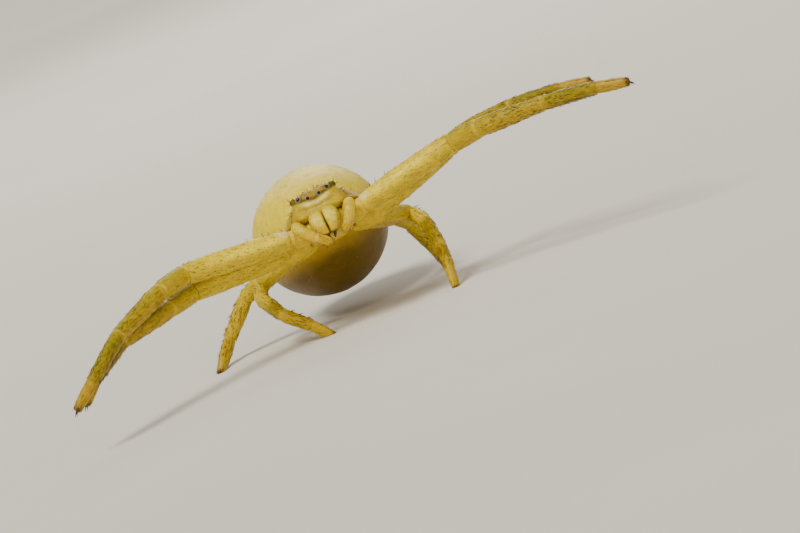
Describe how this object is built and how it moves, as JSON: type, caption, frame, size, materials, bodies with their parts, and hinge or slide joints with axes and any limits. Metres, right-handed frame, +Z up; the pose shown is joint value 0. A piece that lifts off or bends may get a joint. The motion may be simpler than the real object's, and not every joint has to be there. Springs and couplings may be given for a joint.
{
  "type": "crab spider",
  "caption": "Life-size still model of a pale yellow-green crab spider, standing with its long front legs spread wide.",
  "frame": {"origin": "middle of the whole model's box at the level of the floor that the four short rear feet stand on", "axes": "+Z up, the spider faces -Y, and +X is the spider's own left side, along its spread front legs"},
  "size_m": [0.0204, 0.0146, 0.0051],
  "materials": {
    "cephalothorax": "translucent cuticle, olive sides with a cream face band, satin",
    "abdomen": "soft smooth cuticle, cream white shading to yellow green, satin",
    "spinnerets": "tan cuticle with fine hairs, satin",
    "eye": "dark wet lens in a pale lilac ring, glossy",
    "chelicera": "pale cream cuticle, slightly glossy",
    "fang": "dark brown horn-like cuticle, glossy",
    "mouthparts": "pale tan cuticle, satin",
    "palp": "cream to orange yellow cuticle with fine hairs, satin",
    "coxa": "whitish pink cuticle, satin",
    "femur": "cream above and yellow below with dark hair sockets, satin",
    "patella": "greenish yellow cuticle, satin",
    "tibia": "olive yellow cuticle with fine dark hairs, satin",
    "foot": "olive to tan cuticle with a dark tip and claws, satin"
  },
  "bodies": {
    "root": {"abdomen": "abdomen", "cephalothorax": "cephalothorax", "chelicera_left": "chelicera", "chelicera_right": "chelicera", "eye_anterior_lateral_left": "eye", "eye_anterior_lateral_right": "eye", "eye_anterior_median_left": "eye", "eye_anterior_median_right": "eye", "eye_posterior_lateral_left": "eye", "eye_posterior_lateral_right": "eye", "eye_posterior_median_left": "eye", "eye_posterior_median_right": "eye", "fang_left": "fang", "fang_right": "fang", "leg_left_1_coxa": "coxa", "leg_left_1_femur": "femur", "leg_left_1_foot": "foot", "leg_left_1_patella": "patella", "leg_left_1_tibia": "tibia", "leg_left_2_coxa": "coxa", "leg_left_2_femur": "femur", "leg_left_2_foot": "foot", "leg_left_2_patella": "patella", "leg_left_2_tibia": "tibia", "leg_left_3_coxa": "coxa", "leg_left_3_femur": "femur", "leg_left_3_foot": "foot", "leg_left_3_patella": "patella", "leg_left_3_tibia": "tibia", "leg_left_4_coxa": "coxa", "leg_left_4_femur": "femur", "leg_left_4_foot": "foot", "leg_left_4_patella": "patella", "leg_left_4_tibia": "tibia", "leg_right_1_coxa": "coxa", "leg_right_1_femur": "femur", "leg_right_1_foot": "foot", "leg_right_1_patella": "patella", "leg_right_1_tibia": "tibia", "leg_right_2_coxa": "coxa", "leg_right_2_femur": "femur", "leg_right_2_foot": "foot", "leg_right_2_patella": "patella", "leg_right_2_tibia": "tibia", "leg_right_3_coxa": "coxa", "leg_right_3_femur": "femur", "leg_right_3_foot": "foot", "leg_right_3_patella": "patella", "leg_right_3_tibia": "tibia", "leg_right_4_coxa": "coxa", "leg_right_4_femur": "femur", "leg_right_4_foot": "foot", "leg_right_4_patella": "patella", "leg_right_4_tibia": "tibia", "mouthparts": "mouthparts", "palp_left": "palp", "palp_right": "palp", "spinnerets": "spinnerets"}
  },
  "joints": []
}
